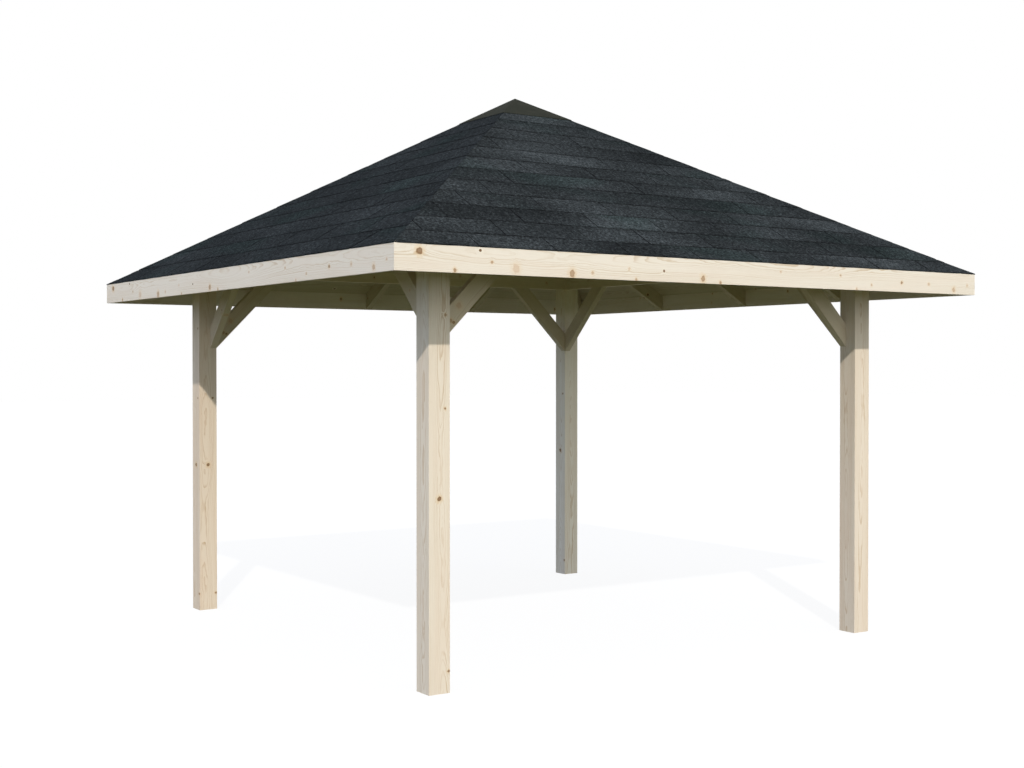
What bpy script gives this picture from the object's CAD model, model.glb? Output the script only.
"""Looks of a square garden gazebo: spruce posts and frame, a boarded hip roof, shingles and a sheet cap.

Metres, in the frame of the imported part: +Z is up and the front is the -Y side.
"""
import math
import random

import bmesh
import bpy
from mathutils import Matrix, Vector


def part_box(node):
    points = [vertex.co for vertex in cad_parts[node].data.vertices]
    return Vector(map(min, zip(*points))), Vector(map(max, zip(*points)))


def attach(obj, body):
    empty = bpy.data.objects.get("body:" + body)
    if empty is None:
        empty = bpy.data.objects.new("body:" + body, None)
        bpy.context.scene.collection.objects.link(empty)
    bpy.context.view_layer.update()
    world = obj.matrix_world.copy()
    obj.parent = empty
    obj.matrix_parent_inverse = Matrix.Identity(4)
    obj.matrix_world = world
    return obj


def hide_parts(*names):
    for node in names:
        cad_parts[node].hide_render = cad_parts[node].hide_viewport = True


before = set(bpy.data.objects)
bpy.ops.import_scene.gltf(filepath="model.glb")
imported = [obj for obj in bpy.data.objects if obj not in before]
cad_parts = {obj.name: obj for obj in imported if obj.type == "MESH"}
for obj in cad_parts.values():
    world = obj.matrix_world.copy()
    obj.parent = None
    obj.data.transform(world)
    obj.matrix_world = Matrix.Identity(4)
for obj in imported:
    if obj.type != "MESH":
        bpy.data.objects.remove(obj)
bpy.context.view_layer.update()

# Names of the sides and corners, each a quarter turn after the one before
SIDES = ("front", "right", "back", "left")
CORNERS = ("front_right", "back_right", "back_left", "front_left")
BODY = "root"

# Roof planes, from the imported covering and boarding
shingles_low, shingles_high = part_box("front_shingles")
boards_low, boards_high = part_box("front_roof_boarding")
cap_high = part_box("roof_cap")[1]
fascia_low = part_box("front_fascia")[0]
ROOF_HALF = shingles_high.x
BOARD_END = boards_high.x
DECK_EAVES_Z = shingles_low.z
DECK_PEAK_Z = boards_high.z
PITCH = math.atan2(DECK_PEAK_Z - DECK_EAVES_Z, ROOF_HALF)
RISE = math.sin(PITCH)
RUN = math.cos(PITCH)
SLOPE_LENGTH = ROOF_HALF / RUN
BOARD_T = (DECK_EAVES_Z + (ROOF_HALF - BOARD_END) * RISE / RUN - boards_low.z) * RUN
CAP_EDGE = (ROOF_HALF - cap_high.x) / RUN

# Roof boards
BOARD_COVER = 0.096
BOARD_GAP = 0.0004
BOARD_CHAMFER = 0.003
HIP_GAP = 0.0008

# Shingles: exposure of the first course and of the others, tab width, place of a slit, widest slit
FRONT_COURSES = (0.143, 0.1719, 0.446, -1.530, 0.0078)
SIDE_COURSES = (0.193, 0.1985, 0.498, 0.075, 0.0130)
COURSES = {"front": FRONT_COURSES, "right": SIDE_COURSES, "back": FRONT_COURSES, "left": SIDE_COURSES}
# Felt: thickness, and how far it stops short of the peak
FELT_T = 0.0006
FELT_SHORT = 4 * HIP_GAP
# Reach of the shingles past the eaves and under the cap, and the smallest piece that is laid
EAVES_OVERHANG = 0.0015
CAP_LAP = 0.07
SLIVER = 0.007
# A tab: thickness, lap, height of its butt on the course below, stray lift, least height, columns and rows
TAB_T = 0.0017
TAB_LAP = 0.012
TAB_BED = 0.0019
TAB_LIFT = (-0.0005, 0.0007)
LEAST_RISE = 0.0002
TAB_COLUMNS = 10
TAB_ROWS = 4
# Height of the waves in a tab, and their radians to the metre on its surface and along its butt
TAB_WAVE = 0.0005
SURFACE_WAVES = 9
BUTT_WAVES = 23
# Slits: share of the widest at the eaves, what is lost towards the cap, narrowest share, stray
SLIT_SHARE = 1.05
SLIT_LOSS = 0.50
NARROWEST_SLIT = 0.35
SLIT_STRAY = 0.010
# Material slots of a slope
GRANULE_SLOT = 0
FELT_SLOT = 1

# Granules: brightness and patchiness of each slope
FRONT_LOOKS = (1.06, 3.4)
SIDE_LOOKS = (0.92, 1.2)
SLOPE_LOOKS = {"front": FRONT_LOOKS, "right": SIDE_LOOKS, "back": FRONT_LOOKS, "left": SIDE_LOOKS}
# Noise of the granules, in cells to the metre
GRANULE_CELLS = 620.0
GRIT = {"clumps": (72, 72, 72), "drifts": (28, 28, 28), "patches": (1.1, 2.0, 1), "tints": (1.3, 2.5, 1)}
# Range of brightness that each of them gives, in doublings
CLUMP_TONE = 6.0
GRANULE_TONE = 1.4
DRIFT_TONE = 1.0
TAB_TONE = 0.25
# Bare bitumen at the butt, at least and in addition, and the shade above it
BARE_LEAST = 0.22
BARE_RANGE = 0.52
BUTT_SHADE = 0.16
# How far the pattern of a course may be shifted, so that no two are alike
LAY_SHIFT = 50

# Timber: radius of the arrises, and the level run below which a timber is upright
ARRIS = {"post": 0.0035, "fascia": 0.0020, "common": 0.0025}
ARRIS_STEPS = 3
UPRIGHT_LIMIT = 0.01
# Place of a timber's middle in the section of its log, with the heart at zero
POST_HEART = ((-0.02, 0.03), (-0.03, 0.02))
COMMON_HEART = ((0.060, 0.085), (-0.035, 0.035))
# How much further above the middle of a fascia its heart lies
FASCIA_HEART = 0.055
# Place of a roof board along its log and in its section, and length of the logs of the frame
BOARD_HEART = ((0, 40), (-0.04, 0.04), (0.04, 0.09))
LOG_LENGTH = 30
# Year rings: width, wander of the heart, ripple, push round a knot and its fade, spread of the widths
RING_W = 0.0038
HEART_WANDER = 0.085
RING_RIPPLE = 0.007
KNOT_PUSH = 0.004
PUSH_FADE = -0.16
RING_SPREAD = 2.4
SPREAD_CELLS = 70.0
# Noise of the spruce, in cells to the metre along the grain and across it
GRAIN = {
    "wander": (0.75, 1.5, 1.5),
    "ripple": (8, 30, 30),
    "strength": (1.1, 26, 26),
    "flush": (1.7, 11, 11),
    "fibre": (22, 900, 900),
    "outline": (75, 75, 75),
    "mottle": (420, 420, 420),
}
# Strength of the year rings, and the shares of late wood, flushed wood and the shade of fibres
FIGURES = {"post": 1.35, "fascia": 1.10, "common": 0.85}
LATE_LEAST = 0.12
LATE_RANGE = 0.60
FLUSH_SHARE = 0.40
FIBRE_SHADE = 0.16
# Surface of the spruce
WOOD_ROUGHNESS = 0.60
WOOD_SPECULAR = 0.05
FIBRE_ROUGHNESS = 0.20
LATE_GLOSS = 0.08
WOOD_BUMP = 0.0003
# Tints that multiply the colour of the spruce: the boards, timbers by a part of their name, and posts
BOARD_TINT = (0.66, 0.66, 0.55)
BEAM_TINT = (0.91, 0.90, 0.78)
TINTS = {
    "_fascia": (1.00, 1.025, 1.065),
    "_brace_": (0.84, 0.82, 0.75),
    "_rafter": (0.71, 0.70, 0.60),
    "_beam": BEAM_TINT,
    "king_": BEAM_TINT,
}
POST_TINTS = {
    "front_left_post": (0.990, 0.990, 0.990),
    "front_right_post": (0.975, 0.955, 0.945),
    "back_right_post": (1.14, 1.165, 1.165),
    "back_left_post": (0.985, 0.940, 0.900),
}

# Knots: stretch along the grain, uneven outline, room past the last one, distance where there are none
KNOT_STRETCH = 1.18
KNOT_UNEVEN = 0.9
KNOT_MARGIN = 0.3
FAR_FROM_KNOTS = 100.0
# Their halo and their rim, at least and in addition, and how much of the wood they hide
HALO_LEAST = 0.16
HALO_RANGE = 0.50
RIM_LEAST = 0.92
RIM_RANGE = 0.16
DARK_HIDES = 0.80
MOTTLE_HIDES = 0.4
LIVE_HIDES = 0.02
# Strewn knots: first and further steps along a timber, knots in a whorl and their stray, sizes, tones
FIRST_KNOT = (0.05, 0.35)
KNOT_STEP = (0.45, 0.95)
KNOT_END = 0.03
WHORL = (1, 1, 2)
WHORL_STRAY = 0.02
KNOT_RADIUS = (0.0035, 0.0080)
KNOT_DARKNESS = (0.1, 0.9)
# Knots of the roof boards: cells to the metre, share of cells with none, radius of none, largest radius
BOARD_KNOT_CELLS = 2.6
KNOTLESS_CELLS = 0.35
NO_KNOT = 0.0001
BOARD_KNOT = 0.011
# Knots of the fascias in view: place along the board, height over its lower edge, radius, darkness
FASCIA_KNOTS = (
    (-1.850, 0.093, 0.0142, 0.80), (-1.663, 0.011, 0.0064, 0.66), (-1.525, 0.108, 0.0066, 1.00),
    (-1.462, 0.056, 0.0055, 0.55), (-1.325, 0.031, 0.0150, 0.14), (-1.000, 0.020, 0.0125, 0.60),
    (-0.876, 0.029, 0.0060, 0.35), (-0.648, 0.058, 0.0055, 0.12), (-0.605, 0.005, 0.0050, 0.50),
    (-0.425, 0.054, 0.0058, 0.95), (-0.165, 0.024, 0.0105, 0.62), (-0.046, 0.006, 0.0055, 0.60),
    (0.385, 0.080, 0.0050, 0.35), (0.842, 0.077, 0.0048, 0.50), (0.968, 0.004, 0.0050, 0.30),
    (1.089, 0.033, 0.0050, 0.35), (1.340, 0.054, 0.0065, 0.75), (1.570, 0.052, 0.0065, 0.30),
    (1.790, 0.025, 0.0095, 0.40), (1.912, 0.055, 0.0055, 0.20),
)
KNOTTY_FASCIAS = ("front_fascia", "left_fascia")
# Knots of the posts in view: from the middle of a face to its right, height, radius, darkness
POST_KNOTS = ((0.0, 0.959, 0.0100, 0.87), (0.033, 1.401, 0.0047, 0.85), (0.052, 0.108, 0.0055, 0.80),
              (0.035, 1.860, 0.0055, 0.55))
KNOTTY_FACES = {
    "front_left_post": ("front",),
    "back_left_post": ("front", "left"),
    "back_right_post": ("left",),
}
# Knots of two braces: inwards from the post, height over the foot, radius, darkness
BRACE_KNOTS = ((0.069, 0.096, 0.0065, 0.75), (0.050, 0.104, 0.0085, 0.45), (0.100, 0.182, 0.0120, 0.20))
KNOTTY_BRACES = ("front_brace_left", "back_brace_right")
# Timbers in view with no knot
CLEAR_TIMBERS = ("front_right_post", "front_brace_right", "back_brace_left", "right_brace_right")

# Colours, linear
EARLY_WOOD = (0.810, 0.725, 0.610, 1)
LATE_WOOD = (0.570, 0.420, 0.265, 1)
FLUSHED_WOOD = (0.770, 0.645, 0.520, 1)
PALE_WOOD = (0.840, 0.760, 0.630, 1)
KNOT_HALO = (0.720, 0.520, 0.290, 1)
KNOT_LIVE = (0.580, 0.340, 0.190, 1)
KNOT_DEAD = (0.165, 0.086, 0.038, 1)
GRANULES = (0.0287, 0.0328, 0.0350)
GREEN_TINT = (0.91, 1.03, 0.99, 1)
BITUMEN = (0.006, 0.006, 0.007, 1)
FELT = (0.006, 0.007, 0.008, 1)
CAP_PAINT = (0.027, 0.029, 0.023, 1)
CAP_DUST = (0.038, 0.039, 0.031, 1)
BOUNCE_NEAR = (0.110, 0.115, 0.054, 1)
BOUNCE_FAR = (0.160, 0.172, 0.080, 1)
WHITE = (1.0, 1.0, 1.0, 1)

# Camera and light
CAMERA_PLACE = (-5.0967, -7.5729, 1.60186)
CAMERA_TURN = (math.radians(90 - 0.6536), 0.0, math.radians(-33.8236))
CAMERA_LENS = 50.44
TO_SUN = Vector((-0.433, -0.731, 0.541))
SUN_STRENGTH = 2.2
SUN_COLOUR = (1.0, 0.946, 0.870)
SUN_ANGLE = math.radians(1.0)
SKY_BRIGHT = (1.10, 1.145, 1.165, 1)
SKY_DIM = (0.71, 0.825, 1.09, 1)
SKY_LOW = 1.16
SKY_HIGH = 0.48
# Where the sky turns from low to high, and from dim to bright
SKY_RISE = (0.30, 0.80)
SKY_FRONT = (0.0, 0.9)
TO_BRIGHT_SKY = (0.15, -0.95, 0.25)
# Floor: half its side, where its bounce changes, the light on it, its own shade, and the white it shows
FLOOR_HALF = 60.0
FLOOR_NEAR = 5.0
FLOOR_FAR = 9.0
FLOOR_LIT = 1.05
FLOOR_SHADE = 0.13
FLOOR_WHITE = 1.03

# Surfaces of the shingles, the felt and the cap
SHINGLE_ROUGHNESS = 0.96
SHINGLE_BUMP = 0.0005
FELT_ROUGHNESS = 0.88
FELT_BUMP = 0.0006
CAP_ROUGHNESS = 0.70
CAP_SPECULAR = 0.01
DUST_SHARE = 0.8
DUST_ROUGHNESS = 0.2
CAP_BUMP = 0.0002
CAP_FOLD = 0.0008
CAP_FOLD_STEPS = 2


# Node helpers

def add_node(tree, kind, inputs=None, **settings):
    """New node with its settings, and its inputs linked or set."""
    made = tree.nodes.new(kind)
    for key, value in settings.items():
        setattr(made, key, value)
    for key, value in (inputs or {}).items():
        if isinstance(value, bpy.types.NodeSocket):
            tree.links.new(value, made.inputs[key])
        else:
            made.inputs[key].default_value = value
    return made


def maths(tree, operation, *values):
    """Result of a sum on numbers or sockets."""
    return add_node(tree, "ShaderNodeMath", dict(enumerate(values)), operation=operation).outputs[0]


def vector_maths(tree, operation, *values):
    """Result of a sum on vectors, a number or a vector."""
    made = add_node(tree, "ShaderNodeVectorMath", dict(enumerate(values)), operation=operation)
    return made.outputs["Value" if operation in ("DOT_PRODUCT", "LENGTH") else "Vector"]


def step_between(tree, value, low, high, rising=True):
    """Smooth step of a value from 0 to 1, or from 1 to 0."""
    ends = (0.0, 1.0) if rising else (1.0, 0.0)
    inputs = {"Value": value, "From Min": low, "From Max": high, "To Min": ends[0], "To Max": ends[1]}
    return add_node(tree, "ShaderNodeMapRange", inputs, interpolation_type="SMOOTHSTEP").outputs["Result"]


def blend_colours(tree, factor, first, second):
    """Mix of two colours."""
    inputs = {0: factor, 6: first, 7: second}
    return add_node(tree, "ShaderNodeMix", inputs, data_type="RGBA").outputs[2]


def noise(tree, place, scales, detail=2.0, roughness=0.5):
    """Noise texture node whose grain has its own scale along each axis."""
    scaled = vector_maths(tree, "MULTIPLY", place, scales)
    inputs = {"Vector": scaled, "Scale": 1.0, "Detail": detail, "Roughness": roughness}
    return add_node(tree, "ShaderNodeTexNoise", inputs)


def centred(tree, value, amount):
    """A value between 0 and 1 turned into one between plus and minus half the amount."""
    return maths(tree, "MULTIPLY", maths(tree, "SUBTRACT", value, 0.5), amount)


def bump(tree, shader, height, distance):
    """Fine relief of a surface."""
    made = add_node(tree, "ShaderNodeBump", {"Height": height, "Distance": distance, "Strength": 1.0})
    tree.links.new(made.outputs["Normal"], shader.inputs["Normal"])


def new_material(name, roughness, specular):
    """Material with a plain principled shader, and its tree."""
    made = bpy.data.materials.new(name)
    made.use_nodes = True
    shader = made.node_tree.nodes["Principled BSDF"]
    shader.inputs["Roughness"].default_value = roughness
    shader.inputs["Specular IOR Level"].default_value = specular
    return made, made.node_tree, shader


# Spruce

def stepped_ramp(tree, value, steps):
    """Ramp that holds the colour of each step from its start to the next one."""
    ramp = add_node(tree, "ShaderNodeValToRGB", {"Fac": value})
    ramp.color_ramp.interpolation = "CONSTANT"
    stops = ramp.color_ramp.elements
    stops.remove(stops[1])
    for i, (start, colour) in enumerate(steps):
        stop = stops.new(start) if i else stops[0]
        stop.color = colour
    stops[0].position = 0.0
    return ramp.outputs


def knot_row(tree, place, knots):
    """Distance to a knot's axis, in knot radii, and its darkness. Each stretch of the timber has one knot."""
    low = knots[0][0][0] - KNOT_MARGIN
    length = knots[-1][0][0] + KNOT_MARGIN - low
    along = add_node(tree, "ShaderNodeSeparateXYZ", {"Vector": place}).outputs["X"]
    share = maths(tree, "DIVIDE", maths(tree, "SUBTRACT", along, low), length)
    places = []
    tones = []
    before = low
    for spot, radius, darkness in knots:
        start = ((before + spot[0]) / 2 - low) / length
        places.append((start, (0.5 + spot[1], 0.5 + spot[2], radius, (spot[0] - low) / length)))
        tones.append((start, (darkness, darkness, darkness, 1)))
        before = spot[0]
    ramp = stepped_ramp(tree, share, places)
    dark = stepped_ramp(tree, share, tones)["Color"]

    # The knot is a spoke from the heart of the log
    coded = add_node(tree, "ShaderNodeSeparateColor", {"Color": ramp["Color"]}).outputs
    aim = add_node(tree, "ShaderNodeCombineXYZ", {1: coded["Red"], 2: coded["Green"]}).outputs[0]
    spoke = vector_maths(tree, "NORMALIZE", vector_maths(tree, "SUBTRACT", aim, (0, 0.5, 0.5)))
    outward = vector_maths(tree, "DOT_PRODUCT", place, spoke)
    ahead = maths(tree, "MULTIPLY", maths(tree, "SUBTRACT", share, ramp["Alpha"]), length / KNOT_STRETCH)
    section = vector_maths(tree, "MULTIPLY", place, (0, 1, 1))
    beside = vector_maths(tree, "LENGTH", vector_maths(tree, "CROSS_PRODUCT", section, spoke))
    apart = maths(tree, "SQRT", maths(tree, "ADD", maths(tree, "MULTIPLY", ahead, ahead),
                                      maths(tree, "MULTIPLY", beside, beside)))
    behind = maths(tree, "LESS_THAN", outward, 0.0)
    return maths(tree, "DIVIDE", maths(tree, "ADD", apart, behind), coded["Blue"]), dark


def listed_knots(tree, place, knots):
    """Distance to the nearest knot and its darkness. Neighbours are in two rows, so that they can overlap."""
    knots = sorted(knots, key=lambda knot: knot[0][0])
    if not knots:
        return FAR_FROM_KNOTS, 0.0
    first, first_dark = knot_row(tree, place, knots[0::2])
    if len(knots) == 1:
        return first, first_dark
    second, second_dark = knot_row(tree, place, knots[1::2])
    closer = maths(tree, "LESS_THAN", second, first)
    change = maths(tree, "SUBTRACT", second_dark, first_dark)
    return maths(tree, "MINIMUM", first, second), maths(tree, "MULTIPLY_ADD", closer, change, first_dark)


def scattered_knots(tree, place):
    """Distance to the nearest knot of many, and its darkness, on boards whose grain runs along X."""
    flat = vector_maths(tree, "MULTIPLY", place, (BOARD_KNOT_CELLS, BOARD_KNOT_CELLS, 0))
    cells = add_node(tree, "ShaderNodeTexVoronoi", {"Vector": flat, "Scale": 1.0}, voronoi_dimensions="2D")
    chance = add_node(tree, "ShaderNodeSeparateColor", {"Color": cells.outputs["Color"]}).outputs
    inputs = {
        "Value": chance["Red"],
        "From Min": KNOTLESS_CELLS,
        "From Max": 1.0,
        "To Min": NO_KNOT,
        "To Max": BOARD_KNOT * BOARD_KNOT_CELLS,
    }
    radius = add_node(tree, "ShaderNodeMapRange", inputs).outputs["Result"]
    return maths(tree, "DIVIDE", cells.outputs["Distance"], radius), chance["Green"]


def year_rings(tree, place, nearest):
    """Share of late wood, in rings round a wandering heart that the knots push aside."""
    wander = noise(tree, place, GRAIN["wander"], 1.0).outputs["Color"]
    wander = vector_maths(tree, "SUBTRACT", wander, (0.5, 0.5, 0.5))
    wander = vector_maths(tree, "MULTIPLY", wander, (0, HEART_WANDER, HEART_WANDER))
    section = vector_maths(tree, "MULTIPLY", vector_maths(tree, "ADD", place, wander), (0, 1, 1))
    ripple = centred(tree, noise(tree, place, GRAIN["ripple"]).outputs["Fac"], RING_RIPPLE)
    radius = maths(tree, "ADD", vector_maths(tree, "LENGTH", section), ripple)
    squared = maths(tree, "MULTIPLY", nearest, nearest)
    push = maths(tree, "EXPONENT", maths(tree, "MULTIPLY", squared, PUSH_FADE))
    radius = maths(tree, "ADD", radius, maths(tree, "MULTIPLY", push, KNOT_PUSH))
    spread = add_node(tree, "ShaderNodeTexNoise", {"W": radius, "Scale": SPREAD_CELLS}, noise_dimensions="1D")
    rings = maths(tree, "ADD", maths(tree, "DIVIDE", radius, RING_W),
                  maths(tree, "MULTIPLY", spread.outputs["Fac"], RING_SPREAD))
    ring = maths(tree, "FRACT", rings)
    return maths(tree, "MULTIPLY", step_between(tree, ring, 0.50, 0.92),
                 step_between(tree, ring, 0.93, 1.0, rising=False))


def clear_wood(tree, place, late, fibre, tint, figure):
    """Colour between the knots: rings of uneven strength, flushed patches and fine fibres."""
    strength = step_between(tree, noise(tree, place, GRAIN["strength"]).outputs["Fac"], 0.34, 0.74)
    strength = maths(tree, "MULTIPLY_ADD", strength, LATE_RANGE * figure, LATE_LEAST * figure)
    colour = blend_colours(tree, maths(tree, "MULTIPLY", late, strength), EARLY_WOOD, LATE_WOOD)
    flush = step_between(tree, noise(tree, place, GRAIN["flush"]).outputs["Fac"], 0.42, 0.72)
    colour = blend_colours(tree, maths(tree, "MULTIPLY", flush, FLUSH_SHARE), colour, FLUSHED_WOOD)
    shade = maths(tree, "ADD", 1.0, centred(tree, fibre, FIBRE_SHADE))
    tinted = vector_maths(tree, "SCALE", tint)
    tree.links.new(shade, tinted.node.inputs["Scale"])
    return vector_maths(tree, "MULTIPLY", colour, tinted)


def knotted_wood(tree, place, colour, inside, nearest, dark):
    """Knots laid over the wood: a live one is a warm smudge, a dead one is a dark plug in pale wood."""
    halo = step_between(tree, nearest, 0.9, 2.6, rising=False)
    halo = maths(tree, "MULTIPLY", halo, maths(tree, "MULTIPLY_ADD", dark, HALO_RANGE, HALO_LEAST))
    halo_colour = blend_colours(tree, step_between(tree, dark, 0.87, 0.95), KNOT_HALO, PALE_WOOD)
    colour = blend_colours(tree, halo, colour, halo_colour)
    mottle = noise(tree, place, GRAIN["mottle"]).outputs["Fac"]
    least = maths(tree, "MULTIPLY_ADD", mottle, MOTTLE_HIDES, LIVE_HIDES)
    solid = maths(tree, "MULTIPLY_ADD", dark, DARK_HIDES, least)
    rim = maths(tree, "MULTIPLY_ADD", step_between(tree, nearest, 0.35, 0.90), RIM_RANGE, RIM_LEAST)
    share = maths(tree, "MULTIPLY", inside, maths(tree, "MULTIPLY", solid, rim))
    return blend_colours(tree, share, colour, blend_colours(tree, dark, KNOT_LIVE, KNOT_DEAD))


def spruce(name, place_of, knots_of, tint, figure):
    """Planed bare spruce. The place is measured from the heart of the log, with X along the grain."""
    made, tree, shader = new_material(name, WOOD_ROUGHNESS, WOOD_SPECULAR)
    place = place_of(tree)
    nearest, dark = knots_of(tree, place)
    uneven = centred(tree, noise(tree, place, GRAIN["outline"], 1.0).outputs["Fac"], KNOT_UNEVEN)
    nearest = maths(tree, "MULTIPLY", nearest, maths(tree, "ADD", 1.0, uneven))
    inside = step_between(tree, nearest, 0.82, 1.18, rising=False)
    late = year_rings(tree, place, nearest)
    fibre = noise(tree, place, GRAIN["fibre"], 3.0, 0.6).outputs["Fac"]
    colour = clear_wood(tree, place, late, fibre, tint, figure)
    colour = knotted_wood(tree, place, colour, inside, nearest, dark)
    tree.links.new(colour, shader.inputs["Base Color"])

    # Late wood is a little smoother, and rings, fibres and knots stand out a little
    roughness = maths(tree, "ADD", WOOD_ROUGHNESS, centred(tree, fibre, FIBRE_ROUGHNESS))
    gloss = maths(tree, "MULTIPLY", late, LATE_GLOSS)
    tree.links.new(maths(tree, "SUBTRACT", roughness, gloss), shader.inputs["Roughness"])
    height = maths(tree, "ADD", maths(tree, "MULTIPLY", late, 0.5), maths(tree, "MULTIPLY", fibre, 0.6))
    bump(tree, shader, maths(tree, "ADD", height, inside), WOOD_BUMP)
    return made


def turned(side, point):
    """A point or direction of the front side, turned to another side."""
    x, y, z = point
    for _ in range(SIDES.index(side)):
        x, y = -y, x
    return Vector((x, y, z))


def grain_direction(name):
    """Direction in which a timber of the frame runs."""
    if name.endswith("_post") or name == "king_block":
        return Vector((0, 0, 1))
    if name.endswith("_hip_rafter"):
        corner = CORNERS.index(name.removesuffix("_hip_rafter"))
        return turned(SIDES[corner], (-1, 1, RISE / RUN)).normalized()
    side = name.split("_")[0]
    if "_brace_" in name:
        return turned(side, (-1 if name.endswith("right") else 1, 0, 1)).normalized()
    if "_rafter_" in name:
        return turned(side, (0, RUN, RISE))
    return turned(side, (1, 0, 0))


def timber_kind(name):
    """Post, fascia, or common for the rest of the frame."""
    for kind in ("post", "fascia"):
        if name.endswith(kind):
            return kind
    return "common"


def log_frame(name, draw):
    """Turn and shift from the part's frame to the log that a timber is sawn from."""
    along = grain_direction(name)
    level = along.cross((0, 0, 1))
    across = level.normalized() if level.length > UPRIGHT_LIMIT else Vector((1, 0, 0))
    turn = Matrix((along, across, along.cross(across)))
    low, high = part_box(name)
    middle = turn @ ((low + high) / 2)
    kind = timber_kind(name)
    ranges = POST_HEART if kind == "post" else COMMON_HEART
    heart = [draw.uniform(*ends) for ends in ranges]
    if kind == "fascia":
        heart[1] += FASCIA_HEART
    shift = Vector((draw.uniform(0, LOG_LENGTH), *heart)) - middle
    return turn, shift


def section_of(name, turn, shift):
    """Lowest and highest place of a timber's corners in the frame of its log."""
    corners = [turn @ v.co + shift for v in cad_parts[name].data.vertices]
    return [[limit(c[i] for c in corners) for i in range(3)] for limit in (min, max)]


def strewn_knots(name, turn, shift, draw):
    """Knots in loose whorls along a timber."""
    low, high = section_of(name, turn, shift)
    knots = []
    along = low[0] + draw.uniform(*FIRST_KNOT)
    while along < high[0] - KNOT_END:
        for _ in range(draw.choice(WHORL)):
            spot = [along + draw.uniform(-WHORL_STRAY, WHORL_STRAY)]
            spot += [draw.uniform(low[i], high[i]) for i in (1, 2)]
            knots.append((spot, draw.uniform(*KNOT_RADIUS), draw.uniform(*KNOT_DARKNESS)))
        along += draw.uniform(*KNOT_STEP)
    return knots


def placed_knots(name, turn, shift):
    """Knots of a fascia, a post or a brace in view, or none."""
    side = name.split("_")[0]
    places = []
    if name in KNOTTY_FASCIAS:
        for x, z, radius, darkness in FASCIA_KNOTS:
            places.append((turned(side, (x, -ROOF_HALF, fascia_low.z + z)), radius, darkness))
    low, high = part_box(name)
    middle = (low + high) / 2
    for face in KNOTTY_FACES.get(name, ()):
        for x, z, radius, darkness in POST_KNOTS:
            across = turned(face, (x, low.y - middle.y, 0))
            places.append((Vector((middle.x, middle.y, z)) + across, radius, darkness))
    if name in KNOTTY_BRACES:
        for x, z, radius, darkness in BRACE_KNOTS:
            places.append((low + Vector((x, 0, z)), radius, darkness))
    return [(turn @ place + shift, radius, darkness) for place, radius, darkness in places]


def timber_tint(name):
    """Tint of one timber, of its own for each post and shared by the others of a kind."""
    if name in POST_TINTS:
        return POST_TINTS[name]
    return next(tint for part, tint in TINTS.items() if part in name)


def dress_timber(name, node):
    """Bare spruce and planed arrises on one timber of the frame."""
    draw = random.Random(name)
    turn, shift = log_frame(name, draw)
    knots = placed_knots(name, turn, shift)
    if not knots and name not in CLEAR_TIMBERS:
        knots = strewn_knots(name, turn, shift, draw)

    def place_of(tree):
        coords = add_node(tree, "ShaderNodeTexCoord").outputs["Object"]
        inputs = {"Vector": coords, "Rotation": turn.to_euler(), "Location": shift}
        return add_node(tree, "ShaderNodeMapping", inputs).outputs["Vector"]

    def knots_of(tree, place):
        return listed_knots(tree, place, knots)

    figure = FIGURES[timber_kind(name)]
    material = spruce(f"spruce_{name}", place_of, knots_of, timber_tint(name), figure)
    node.data.materials.clear()
    node.data.materials.append(material)
    rounding = node.modifiers.new("arris", "BEVEL")
    rounding.width = ARRIS[timber_kind(name)]
    rounding.segments = ARRIS_STEPS
    rounding.limit_method = "ANGLE"
    rounding.harden_normals = True


# Roof pieces, laid on the slopes

def on_slope(side, x, up, rise):
    """Point at x along the eaves, up the slope from them, and risen square to the deck."""
    out = ROOF_HALF - up * RUN + rise * RISE
    return turned(side, (x, -out, DECK_EAVES_Z + up * RISE + rise * RUN))


def hip_reach(up, rise):
    """Half the length of a level line on a slope, between its hips."""
    return ROOF_HALF - up * RUN + rise * RISE - HIP_GAP


def new_piece(name, bm, materials, replaced):
    """Object from a bmesh, riding on the part in place of a CAD node."""
    mesh = bpy.data.meshes.new(name)
    bmesh.ops.recalc_face_normals(bm, faces=bm.faces)
    bm.to_mesh(mesh)
    bm.free()
    made = bpy.data.objects.new(name, mesh)
    bpy.context.scene.collection.objects.link(made)
    for material in materials:
        mesh.materials.append(material)
    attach(made, BODY)
    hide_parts(replaced)
    return made


def hip_to_hip(bm, side, outline):
    """Prism along the eaves from an outline of up and rise, mitred to both hips."""
    ends = []
    for way in (-1, 1):
        places = [on_slope(side, way * hip_reach(up, rise), up, rise) for up, rise in outline]
        ends.append([bm.verts.new(place) for place in places])
    count = len(outline)
    faces = [bm.faces.new(ends[0]), bm.faces.new(ends[1])]
    for i in range(count):
        j = (i + 1) % count
        faces.append(bm.faces.new((ends[0][i], ends[0][j], ends[1][j], ends[1][i])))
    return faces


def board_outline(low, high, first):
    """Section of a roof board between two distances up the slope, with chamfered lower edges."""
    low += BOARD_GAP
    high -= BOARD_GAP
    plumb = BOARD_T * RISE / RUN if first else 0.0
    top = -BOARD_GAP
    return [
        (low, top),
        (low - plumb, BOARD_CHAMFER - BOARD_T),
        (low - plumb + BOARD_CHAMFER, -BOARD_T),
        (high - BOARD_CHAMFER, -BOARD_T),
        (high, BOARD_CHAMFER - BOARD_T),
        (high, top),
    ]


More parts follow.
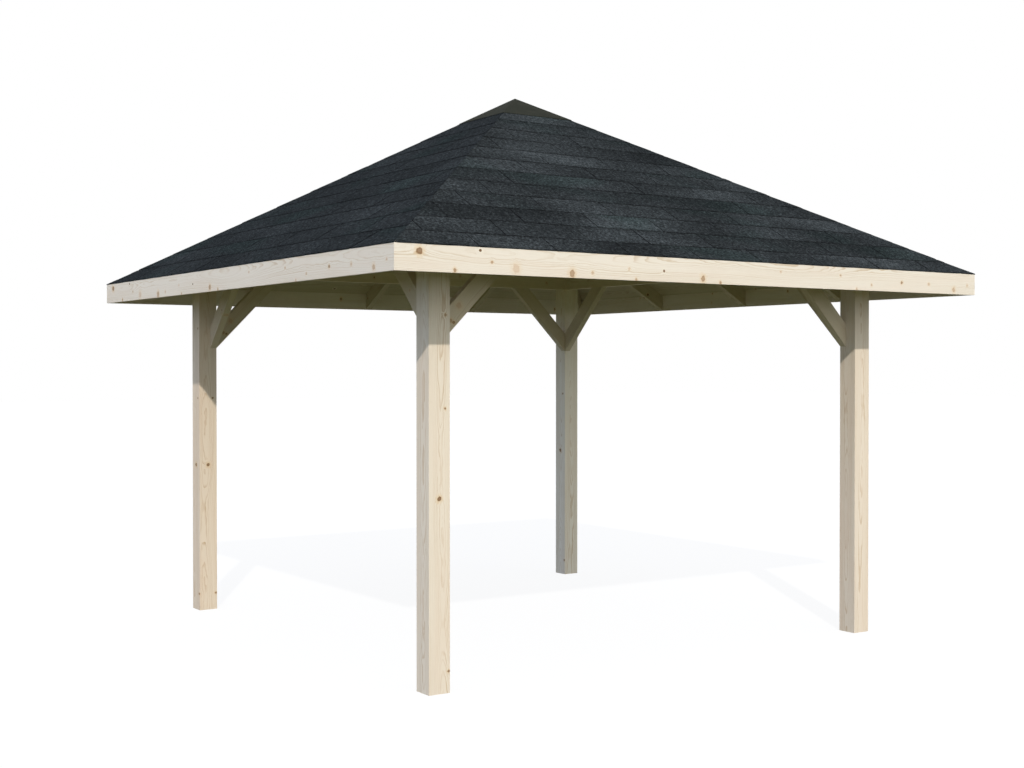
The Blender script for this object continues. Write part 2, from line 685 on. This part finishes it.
def roof_boards(side, material):
    """One slope of tongued boards, seen from below with a groove at each joint."""
    draw = random.Random(f"{side}_boards")
    bm = bmesh.new()
    grain = bm.verts.layers.float_vector.new("grain")
    low = (ROOF_HALF - BOARD_END) / RUN
    first = True
    while low < SLOPE_LENGTH - 2 * BOARD_CHAMFER:
        high = min(low + BOARD_COVER, SLOPE_LENGTH - HIP_GAP)
        heart = Vector([draw.uniform(*ends) for ends in BOARD_HEART])
        faces = hip_to_hip(bm, side, board_outline(low, high, first))
        for vert in {v for f in faces for v in f.verts}:
            flat = turned(SIDES[-SIDES.index(side)], vert.co)
            up = (ROOF_HALF + flat.y) / RUN
            vert[grain] = Vector((flat.x, up - (low + high) / 2, 0.0)) + heart
        low += BOARD_COVER
        first = False
    return new_piece(f"{side}_tongued_boards", bm, [material], f"{side}_roof_boarding")


def board_spruce():
    """Spruce of the roof boards, whose place on the log is kept on their vertices."""
    def place_of(tree):
        return add_node(tree, "ShaderNodeAttribute", None, attribute_name="grain").outputs["Vector"]

    return spruce("spruce_boards", place_of, scattered_knots, BOARD_TINT, FIGURES["common"])


# Shingles

def shingle_material(side):
    """Mineral granules on bitumen.

    The lay is the place along a course, the distance from the butt, and the tone of the tab.
    """
    made, tree, shader = new_material(f"shingle_granules_{side}", SHINGLE_ROUGHNESS, 0.0)
    brightness, patchiness = SLOPE_LOOKS[side]
    place = add_node(tree, "ShaderNodeTexCoord").outputs["Object"]
    lay = add_node(tree, "ShaderNodeAttribute", None, attribute_name="lay").outputs["Vector"]
    parts = add_node(tree, "ShaderNodeSeparateXYZ", {"Vector": lay}).outputs
    grains = add_node(tree, "ShaderNodeTexVoronoi", {"Vector": place, "Scale": GRANULE_CELLS})
    grain = add_node(tree, "ShaderNodeSeparateColor", {"Color": grains.outputs["Color"]}).outputs
    clumps = noise(tree, place, GRIT["clumps"], 3.0, 0.7).outputs["Fac"]
    drifts = noise(tree, place, GRIT["drifts"]).outputs["Fac"]
    flat_lay = vector_maths(tree, "MULTIPLY", lay, (1, 1, 0))
    patches = noise(tree, flat_lay, GRIT["patches"], 1.0).outputs["Fac"]
    tints = noise(tree, flat_lay, GRIT["tints"], 1.0).outputs["Fac"]

    # Brightness in doublings: clumps, single granules, drifts, long patches and whole tabs
    tone = centred(tree, clumps, CLUMP_TONE)
    shares = {grain["Red"]: GRANULE_TONE, drifts: DRIFT_TONE, patches: patchiness, parts["Z"]: TAB_TONE}
    for value, amount in shares.items():
        tone = maths(tree, "ADD", tone, centred(tree, value, amount))
    colour = vector_maths(tree, "SCALE", Vector(GRANULES) * brightness)
    tree.links.new(maths(tree, "POWER", 2.0, tone), colour.node.inputs["Scale"])
    green = step_between(tree, tints, 0.50, 0.72)
    colour = vector_maths(tree, "MULTIPLY", colour, blend_colours(tree, green, WHITE, GREEN_TINT))

    # The cut butt is bare bitumen, more in some places than in others, and a little shade lies above it
    bare = maths(tree, "MULTIPLY_ADD", step_between(tree, drifts, 0.38, 0.60), BARE_RANGE, BARE_LEAST)
    butt = maths(tree, "MULTIPLY", step_between(tree, parts["Y"], 0.002, 0.006, rising=False), bare)
    shade = maths(tree, "MULTIPLY", step_between(tree, parts["Y"], 0.0, 0.030, rising=False), BUTT_SHADE)
    colour = blend_colours(tree, maths(tree, "MAXIMUM", butt, shade), colour, BITUMEN)
    tree.links.new(colour, shader.inputs["Base Color"])
    height = maths(tree, "ADD", grain["Blue"], maths(tree, "MULTIPLY", clumps, 0.8))
    bump(tree, shader, height, SHINGLE_BUMP)
    return made


def felt_material():
    """Bitumen felt in the slits and along the hips."""
    made, tree, shader = new_material("shingle_felt", FELT_ROUGHNESS, 0.0)
    place = add_node(tree, "ShaderNodeTexCoord").outputs["Object"]
    mottle = noise(tree, place, (140, 140, 140), 3.0).outputs["Fac"]
    colour = blend_colours(tree, step_between(tree, mottle, 0.35, 0.75), BITUMEN, FELT)
    tree.links.new(colour, shader.inputs["Base Color"])
    bump(tree, shader, mottle, FELT_BUMP)
    return made


def tab_rows(start, end, left, right):
    """Distances up the slope at which a tab's outline or surface bends."""
    rows = {start + (end - start) * i / TAB_ROWS for i in range(TAB_ROWS + 1)}
    for edge in (left, right):
        crossing = (ROOF_HALF - HIP_GAP - abs(edge)) / RUN
        if start < crossing < end:
            rows.add(crossing)
    return sorted(rows)


def tab_sheets(bm, lay, side, edges, start, end, exposed, shift, draw):
    """Rows of a tab's vertices from its butt up, on top and underneath."""
    left, right = edges
    lift = draw.uniform(*TAB_LIFT)
    wave = draw.uniform(0, math.tau)
    tone = draw.random()
    sheets = {"top": [], "under": []}
    for up in tab_rows(start, end, left, right):
        share = (up - start) / exposed
        bed = TAB_BED * (1 - share)
        heights = {"top": bed + TAB_T + lift * (1 - share), "under": bed if start > 0 else 0.0}
        for sheet, rise in heights.items():
            reach = hip_reach(up, rise)
            first = max(left, -reach)
            last = min(right, reach)
            swell = TAB_WAVE * (1 - share) if sheet == "top" else 0.0
            sway = TAB_WAVE if up == start else 0.0
            row = []
            for i in range(TAB_COLUMNS + 1):
                x = first + (last - first) * i / TAB_COLUMNS
                ripple = swell * math.sin(wave + SURFACE_WAVES * x)
                edge = sway * math.sin(2 * wave + BUTT_WAVES * x)
                vert = bm.verts.new(on_slope(side, x, up + edge, max(rise, LEAST_RISE) + ripple))
                vert[lay] = Vector((x + shift, up - start, tone))
                row.append(vert)
            sheets[sheet].append(row)
    return sheets["top"], sheets["under"]


def close_tab(bm, top, under, slit_first, slit_last):
    """Faces all round a tab. Its ends are felt where they are the walls of a slit."""
    loops = [list(zip(top[i], top[i + 1])) for i in range(len(top) - 1)]
    loops += [list(zip(under[i + 1], under[i])) for i in range(len(under) - 1)]
    loops += [list(zip(under[0], top[0])), list(zip(top[-1], under[-1]))]
    first_cut = list(zip([row[0] for row in top], [row[0] for row in under]))
    last_cut = list(zip([row[-1] for row in under], [row[-1] for row in top]))
    strips = [(loop, GRANULE_SLOT) for loop in loops]
    strips.append((first_cut, FELT_SLOT if slit_first else GRANULE_SLOT))
    strips.append((last_cut, FELT_SLOT if slit_last else GRANULE_SLOT))
    for strip, material in strips:
        for (a, b), (c, d) in zip(strip, strip[1:]):
            face = bm.faces.new((a, c, d, b))
            face.material_index = material


def shingle_tab(bm, lay, side, edges, start, exposed, limit, shift, draw):
    """One tab, which rests on the course below, or on the deck, and runs in under the course above."""
    left, right = edges
    inner = 0.0 if left < 0 < right else min(abs(left), abs(right))
    end = min(start + exposed + TAB_LAP, limit, (ROOF_HALF - HIP_GAP - inner) / RUN - SLIVER)
    if end - start < SLIVER:
        return
    top, under = tab_sheets(bm, lay, side, edges, start, end, exposed, shift, draw)
    reach = hip_reach(start, 0.0)
    close_tab(bm, top, under, left > -reach, right < reach)


def course_slits(place, width, widest, reach, draw):
    """Both edges of each slit along a course, from beyond one hip to beyond the other."""
    slits = []
    middle = place - width * (math.ceil((place + reach) / width) + 1)
    while middle < reach + 2 * width:
        centre = middle + draw.uniform(-SLIT_STRAY, SLIT_STRAY)
        half = draw.uniform(NARROWEST_SLIT, 1.0) * widest / 2
        slits.append((centre - half, centre + half))
        middle += width
    return slits


def shingle_slope(side, granules, felt):
    """One slope of shingles in courses from the eaves up to the cap, over a sheet of felt."""
    draw = random.Random(f"{side}_shingles")
    starter, exposure, width, slit, widest = COURSES[side]
    limit = CAP_EDGE + CAP_LAP
    bm = bmesh.new()
    lay = bm.verts.layers.float_vector.new("lay")
    top = SLOPE_LENGTH - FELT_SHORT
    for face in hip_to_hip(bm, side, [(0.0, 0.0), (top, 0.0), (top, FELT_T), (0.0, FELT_T)]):
        face.material_index = FELT_SLOT
    start = -EAVES_OVERHANG
    exposed = starter + EAVES_OVERHANG
    odd = True
    while start < limit - SLIVER:
        reach = hip_reach(start, TAB_T)
        shift = draw.uniform(0, LAY_SHIFT)
        place = slit if odd else slit + width / 2
        share = SLIT_SHARE - SLIT_LOSS * start / limit
        slits = course_slits(place, width, widest * share, reach, draw)
        for slit_before, slit_after in zip(slits, slits[1:]):
            first = max(slit_before[1], -reach)
            last = min(slit_after[0], reach)
            if last - first > SLIVER:
                shingle_tab(bm, lay, side, (first, last), start, exposed, limit, shift, draw)
        start += exposed
        exposed = exposure
        odd = not odd
    return new_piece(f"{side}_shingle_courses", bm, [granules, felt], f"{side}_shingles")


# Cap

def cap_material():
    """Satin coated sheet with a little dust."""
    made, tree, shader = new_material("cap_coating", CAP_ROUGHNESS, CAP_SPECULAR)
    place = add_node(tree, "ShaderNodeTexCoord").outputs["Object"]
    dust = noise(tree, place, (9, 9, 22), 4.0, 0.6).outputs["Fac"]
    grit = noise(tree, place, (260, 260, 260), 2.0).outputs["Fac"]
    share = maths(tree, "MULTIPLY", step_between(tree, dust, 0.35, 0.75), DUST_SHARE)
    colour = blend_colours(tree, share, CAP_PAINT, CAP_DUST)
    tree.links.new(colour, shader.inputs["Base Color"])
    roughness = maths(tree, "ADD", CAP_ROUGHNESS, centred(tree, dust, DUST_ROUGHNESS))
    tree.links.new(roughness, shader.inputs["Roughness"])
    bump(tree, shader, grit, CAP_BUMP)
    return made


def dress_cap(node):
    """Coating and soft folds on the cap."""
    node.data.materials.clear()
    node.data.materials.append(cap_material())
    folds = node.modifiers.new("folds", "BEVEL")
    folds.width = CAP_FOLD
    folds.segments = CAP_FOLD_STEPS
    folds.limit_method = "ANGLE"


# Stage

def seen_directly(tree):
    """1 for rays from the camera or off glossy and clear surfaces, 0 for light on the object."""
    rays = add_node(tree, "ShaderNodeLightPath").outputs
    mirrored = maths(tree, "MAXIMUM", rays["Is Glossy Ray"], rays["Is Transmission Ray"])
    return maths(tree, "MAXIMUM", rays["Is Camera Ray"], mirrored)


def white_floor():
    """Pale floor that shows white in the light and keeps a faint shadow."""
    made = bpy.data.materials.new("stage_floor")
    made.use_nodes = True
    tree = made.node_tree
    tree.nodes.clear()
    glow = add_node(tree, "ShaderNodeEmission",
                    {"Color": WHITE, "Strength": FLOOR_WHITE - FLOOR_SHADE * FLOOR_LIT})
    pale = (FLOOR_SHADE, FLOOR_SHADE, FLOOR_SHADE, 1)
    matt = add_node(tree, "ShaderNodeBsdfDiffuse", {"Color": pale})
    shown = add_node(tree, "ShaderNodeAddShader", {0: glow.outputs[0], 1: matt.outputs[0]})
    place = add_node(tree, "ShaderNodeNewGeometry").outputs["Position"]
    away = step_between(tree, vector_maths(tree, "LENGTH", place), FLOOR_NEAR, FLOOR_FAR)
    lawn = blend_colours(tree, away, BOUNCE_NEAR, BOUNCE_FAR)
    bounce = add_node(tree, "ShaderNodeBsdfDiffuse", {"Color": lawn})
    either = add_node(tree, "ShaderNodeMixShader",
                      {0: seen_directly(tree), 1: bounce.outputs[0], 2: shown.outputs[0]})
    add_node(tree, "ShaderNodeOutputMaterial", {"Surface": either.outputs[0]})
    return made


def make_floor():
    """Level floor under the gazebo."""
    mesh = bpy.data.meshes.new("floor")
    half = FLOOR_HALF
    corners = [(-half, -half, 0), (half, -half, 0), (half, half, 0), (-half, half, 0)]
    mesh.from_pydata(corners, [], [(0, 1, 2, 3)])
    mesh.materials.append(white_floor())
    floor = bpy.data.objects.new("floor", mesh)
    bpy.context.scene.collection.objects.link(floor)


def make_sky():
    """Soft sky, brighter low down and on the front side, that is white to the camera."""
    world = bpy.data.worlds.new("sky")
    bpy.context.scene.world = world
    world.use_nodes = True
    tree = world.node_tree
    tree.nodes.clear()
    ray = add_node(tree, "ShaderNodeTexCoord").outputs["Generated"]
    facing = step_between(tree, vector_maths(tree, "DOT_PRODUCT", ray, TO_BRIGHT_SKY), *SKY_FRONT)
    colour = blend_colours(tree, facing, SKY_DIM, SKY_BRIGHT)
    height = step_between(tree, vector_maths(tree, "DOT_PRODUCT", ray, (0, 0, 1)), *SKY_RISE)
    strength = maths(tree, "MULTIPLY_ADD", height, SKY_HIGH - SKY_LOW, SKY_LOW)
    light = add_node(tree, "ShaderNodeBackground", {"Color": colour, "Strength": strength})
    white = add_node(tree, "ShaderNodeBackground", {"Color": WHITE, "Strength": 1.0})
    either = add_node(tree, "ShaderNodeMixShader",
                      {0: seen_directly(tree), 1: light.outputs[0], 2: white.outputs[0]})
    add_node(tree, "ShaderNodeOutputWorld", {"Surface": either.outputs[0]})


def make_sun():
    """Sun from the front left."""
    lamp = bpy.data.lights.new("sun", "SUN")
    lamp.energy = SUN_STRENGTH
    lamp.color = SUN_COLOUR
    lamp.angle = SUN_ANGLE
    sun = bpy.data.objects.new("sun", lamp)
    sun.rotation_euler = TO_SUN.to_track_quat("Z", "Y").to_euler()
    bpy.context.scene.collection.objects.link(sun)


def make_camera():
    """Camera at the photo's viewing angle."""
    lens = bpy.data.cameras.new("camera")
    lens.lens = CAMERA_LENS
    camera = bpy.data.objects.new("camera", lens)
    camera.location = CAMERA_PLACE
    camera.rotation_euler = CAMERA_TURN
    bpy.context.scene.collection.objects.link(camera)
    bpy.context.scene.camera = camera


# The whole scene, in order
make_camera()
make_sun()
make_sky()
make_floor()
bpy.context.scene.view_settings.view_transform = "Standard"

boards_spruce = board_spruce()
felt = felt_material()
for side in SIDES:
    roof_boards(side, boards_spruce)
    shingle_slope(side, shingle_material(side), felt)
for name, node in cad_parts.items():
    if name == "roof_cap":
        dress_cap(node)
    elif not name.endswith(("_shingles", "_roof_boarding")):
        dress_timber(name, node)
